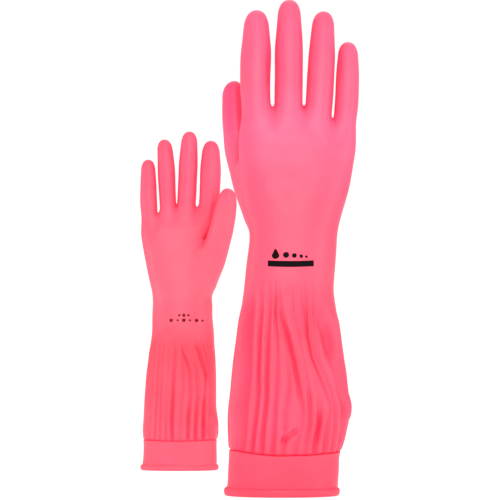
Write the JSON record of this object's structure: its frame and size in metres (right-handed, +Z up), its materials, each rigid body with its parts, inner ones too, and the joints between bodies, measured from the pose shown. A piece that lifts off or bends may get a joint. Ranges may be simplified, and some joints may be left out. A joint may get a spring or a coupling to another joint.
{
  "type": "rubber gloves",
  "caption": "Two long-sleeved household gloves in pink rubber, standing on their cuffs, with smooth hands, gathered sleeves, plain cuff bands and rolled rims.",
  "frame": {"origin": "middle of the pair's footprint on the surface that the gloves stand on", "axes": "+Z up along the fingers, -Y the side that the front glove shows the back of its hand to, +X to the right of that view"},
  "size_m": [0.2374, 0.403, 0.4306],
  "materials": {
    "front_cuff_rubber": "satin",
    "front_sleeve_rubber": "satin",
    "front_thumb_rubber": "satin",
    "front_hand_rubber": "satin",
    "rear_cuff_rubber": "satin",
    "rear_sleeve_rubber": "satin",
    "rear_thumb_rubber": "satin",
    "rear_hand_rubber": "satin"
  },
  "bodies": {
    "front_cuff": {"front_cuff_bead": "front_cuff_rubber", "front_cuff_band": "front_cuff_rubber", "front_sleeve_lower": "front_sleeve_rubber"},
    "front_forearm": {"front_sleeve_upper": "front_sleeve_rubber", "front_wrist": "front_hand_rubber"},
    "front_hand": {"front_hand": "front_hand_rubber"},
    "front_index_base": {"front_index_base": "front_hand_rubber"},
    "front_index_end": {"front_index_end": "front_hand_rubber"},
    "front_middle_base": {"front_middle_base": "front_hand_rubber"},
    "front_middle_end": {"front_middle_end": "front_hand_rubber"},
    "front_ring_base": {"front_ring_base": "front_hand_rubber"},
    "front_ring_end": {"front_ring_end": "front_hand_rubber"},
    "front_little_base": {"front_little_base": "front_hand_rubber"},
    "front_little_end": {"front_little_end": "front_hand_rubber"},
    "front_thumb_base": {"front_thumb_base": "front_thumb_rubber"},
    "front_thumb_end": {"front_thumb_end": "front_thumb_rubber"},
    "rear_cuff": {"rear_cuff_bead": "rear_cuff_rubber", "rear_cuff_band": "rear_cuff_rubber", "rear_sleeve_lower": "rear_sleeve_rubber"},
    "rear_forearm": {"rear_sleeve_upper": "rear_sleeve_rubber", "rear_wrist": "rear_hand_rubber"},
    "rear_hand": {"rear_hand": "rear_hand_rubber"},
    "rear_index_base": {"rear_index_base": "rear_hand_rubber"},
    "rear_index_end": {"rear_index_end": "rear_hand_rubber"},
    "rear_middle_base": {"rear_middle_base": "rear_hand_rubber"},
    "rear_middle_end": {"rear_middle_end": "rear_hand_rubber"},
    "rear_ring_base": {"rear_ring_base": "rear_hand_rubber"},
    "rear_ring_end": {"rear_ring_end": "rear_hand_rubber"},
    "rear_little_base": {"rear_little_base": "rear_hand_rubber"},
    "rear_little_end": {"rear_little_end": "rear_hand_rubber"},
    "rear_thumb_base": {"rear_thumb_base": "rear_thumb_rubber"},
    "rear_thumb_end": {"rear_thumb_end": "rear_thumb_rubber"}
  },
  "joints": [
    {"name": "front_sleeve_gather", "type": "slide", "parent": "front_cuff", "child": "front_forearm", "axis": [0, 0, 1], "range_m": [-0.05, 0], "stiffness_N_per_m": 60, "springref_m": 0.025},
    {"name": "front_wrist_bend", "type": "hinge", "parent": "front_forearm", "child": "front_hand", "pos_m": [0.06125, -0.17352, 0.214], "axis": [-1, 0, 0], "range_deg": [-40, 40], "stiffness_Nm_per_rad": 0.6},
    {"name": "front_index_base_bend", "type": "hinge", "parent": "front_hand", "child": "front_index_base", "pos_m": [0.02925, -0.17352, 0.343], "axis": [-0.978, 0.2082, 0.0116], "range_deg": [0, 75], "stiffness_Nm_per_rad": 0.05, "springref_deg": -11.46},
    {"name": "front_index_middle_bend", "type": "hinge", "parent": "front_index_base", "child": "front_index_end", "pos_m": [0.02988, -0.17257, 0.37898], "axis": [-0.9781, 0.208, 0.0007], "range_deg": [0, 80], "stiffness_Nm_per_rad": 0.03, "springref_deg": -11.46},
    {"name": "front_middle_base_bend", "type": "hinge", "parent": "front_hand", "child": "front_middle_base", "pos_m": [0.05805, -0.17352, 0.344], "axis": [-0.9875, 0.1569, 0.0166], "range_deg": [0, 75], "stiffness_Nm_per_rad": 0.05, "springref_deg": -11.46},
    {"name": "front_middle_middle_bend", "type": "hinge", "parent": "front_middle_base", "child": "front_middle_end", "pos_m": [0.05891, -0.17244, 0.38498], "axis": [-0.9875, 0.1571, 0.0083], "range_deg": [0, 80], "stiffness_Nm_per_rad": 0.03, "springref_deg": -11.46},
    {"name": "front_ring_base_bend", "type": "hinge", "parent": "front_hand", "child": "front_ring_base", "pos_m": [0.08425, -0.17352, 0.343], "axis": [-0.9859, 0.1581, 0.0544], "range_deg": [0, 75], "stiffness_Nm_per_rad": 0.05, "springref_deg": -11.46},
    {"name": "front_ring_middle_bend", "type": "hinge", "parent": "front_ring_base", "child": "front_ring_end", "pos_m": [0.08638, -0.17257, 0.37892], "axis": [-0.986, 0.1602, 0.0459], "range_deg": [0, 80], "stiffness_Nm_per_rad": 0.03, "springref_deg": -11.46},
    {"name": "front_little_base_bend", "type": "hinge", "parent": "front_hand", "child": "front_little_base", "pos_m": [0.10785, -0.17352, 0.334], "axis": [-0.9868, 0.1575, 0.0372], "range_deg": [0, 75], "stiffness_Nm_per_rad": 0.05, "springref_deg": -11.46},
    {"name": "front_little_middle_bend", "type": "hinge", "parent": "front_little_base", "child": "front_little_end", "pos_m": [0.10898, -0.17281, 0.36097], "axis": [-0.9869, 0.1588, 0.0289], "range_deg": [0, 80], "stiffness_Nm_per_rad": 0.03, "springref_deg": -11.46},
    {"name": "front_thumb_base_bend", "type": "hinge", "parent": "front_hand", "child": "front_thumb_base", "pos_m": [0.01275, -0.15052, 0.299], "axis": [0.8596, -0.4935, 0.1324], "range_deg": [-30, 0], "stiffness_Nm_per_rad": 0.05, "springref_deg": 11.46},
    {"name": "front_thumb_middle_bend", "type": "hinge", "parent": "front_thumb_base", "child": "front_thumb_end", "pos_m": [0.01025, -0.14602, 0.332], "axis": [0.8604, -0.499, 0.1035], "range_deg": [-45, 0], "stiffness_Nm_per_rad": 0.03, "springref_deg": 11.46},
    {"name": "rear_sleeve_gather", "type": "slide", "parent": "rear_cuff", "child": "rear_forearm", "axis": [0, 0, 1], "range_m": [-0.05, 0], "stiffness_N_per_m": 60, "springref_m": 0.025},
    {"name": "rear_wrist_bend", "type": "hinge", "parent": "rear_forearm", "child": "rear_hand", "pos_m": [-0.06125, 0.17048, 0.214], "axis": [1, 0, 0], "range_deg": [-40, 40], "stiffness_Nm_per_rad": 0.6},
    {"name": "rear_index_base_bend", "type": "hinge", "parent": "rear_hand", "child": "rear_index_base", "pos_m": [-0.02765, 0.17048, 0.343], "axis": [0.9779, -0.2073, -0.0276], "range_deg": [0, 75], "stiffness_Nm_per_rad": 0.05, "springref_deg": -11.46},
    {"name": "rear_index_middle_bend", "type": "hinge", "parent": "rear_index_base", "child": "rear_index_end", "pos_m": [-0.02683, 0.16954, 0.37898], "axis": [0.978, -0.205, -0.0383], "range_deg": [0, 80], "stiffness_Nm_per_rad": 0.03, "springref_deg": -11.46},
    {"name": "rear_middle_base_bend", "type": "hinge", "parent": "rear_hand", "child": "rear_middle_base", "pos_m": [-0.05585, 0.17048, 0.344], "axis": [0.9873, -0.1557, -0.0299], "range_deg": [0, 75], "stiffness_Nm_per_rad": 0.05, "springref_deg": -11.46},
    {"name": "rear_middle_middle_bend", "type": "hinge", "parent": "rear_middle_base", "child": "rear_middle_end", "pos_m": [-0.05478, 0.16941, 0.38497], "axis": [0.9874, -0.1536, -0.0379], "range_deg": [0, 80], "stiffness_Nm_per_rad": 0.03, "springref_deg": -11.46},
    {"name": "rear_ring_base_bend", "type": "hinge", "parent": "rear_hand", "child": "rear_ring_base", "pos_m": [-0.08365, 0.17048, 0.343], "axis": [0.9874, -0.157, 0.0217], "range_deg": [0, 75], "stiffness_Nm_per_rad": 0.05, "springref_deg": -11.46},
    {"name": "rear_ring_middle_bend", "type": "hinge", "parent": "rear_ring_base", "child": "rear_ring_end", "pos_m": [-0.08459, 0.16954, 0.37898], "axis": [0.9874, -0.1575, 0.0135], "range_deg": [0, 80], "stiffness_Nm_per_rad": 0.03, "springref_deg": -11.46},
    {"name": "rear_little_base_bend", "type": "hinge", "parent": "rear_hand", "child": "rear_little_base", "pos_m": [-0.10585, 0.17048, 0.334], "axis": [0.9877, -0.1562, -0.011], "range_deg": [0, 75], "stiffness_Nm_per_rad": 0.05, "springref_deg": -11.46},
    {"name": "rear_little_middle_bend", "type": "hinge", "parent": "rear_little_base", "child": "rear_little_end", "pos_m": [-0.10566, 0.16978, 0.36099], "axis": [0.9877, -0.155, -0.0191], "range_deg": [0, 80], "stiffness_Nm_per_rad": 0.03, "springref_deg": -11.46},
    {"name": "rear_thumb_base_bend", "type": "hinge", "parent": "rear_hand", "child": "rear_thumb_base", "pos_m": [-0.00975, 0.14798, 0.293], "axis": [-0.8376, 0.4735, 0.2725], "range_deg": [-30, 0], "stiffness_Nm_per_rad": 0.05, "springref_deg": 11.46},
    {"name": "rear_thumb_middle_bend", "type": "hinge", "parent": "rear_thumb_base", "child": "rear_thumb_end", "pos_m": [-0.00375, 0.14248, 0.321], "axis": [-0.8424, 0.4683, 0.2666], "range_deg": [-45, 0], "stiffness_Nm_per_rad": 0.03, "springref_deg": 11.46},
    {"name": "rear_glove_lift", "type": "slide", "parent": "front_cuff", "child": "rear_cuff", "axis": [0, 0, 1], "range_m": [0, 0.45]}
  ]
}
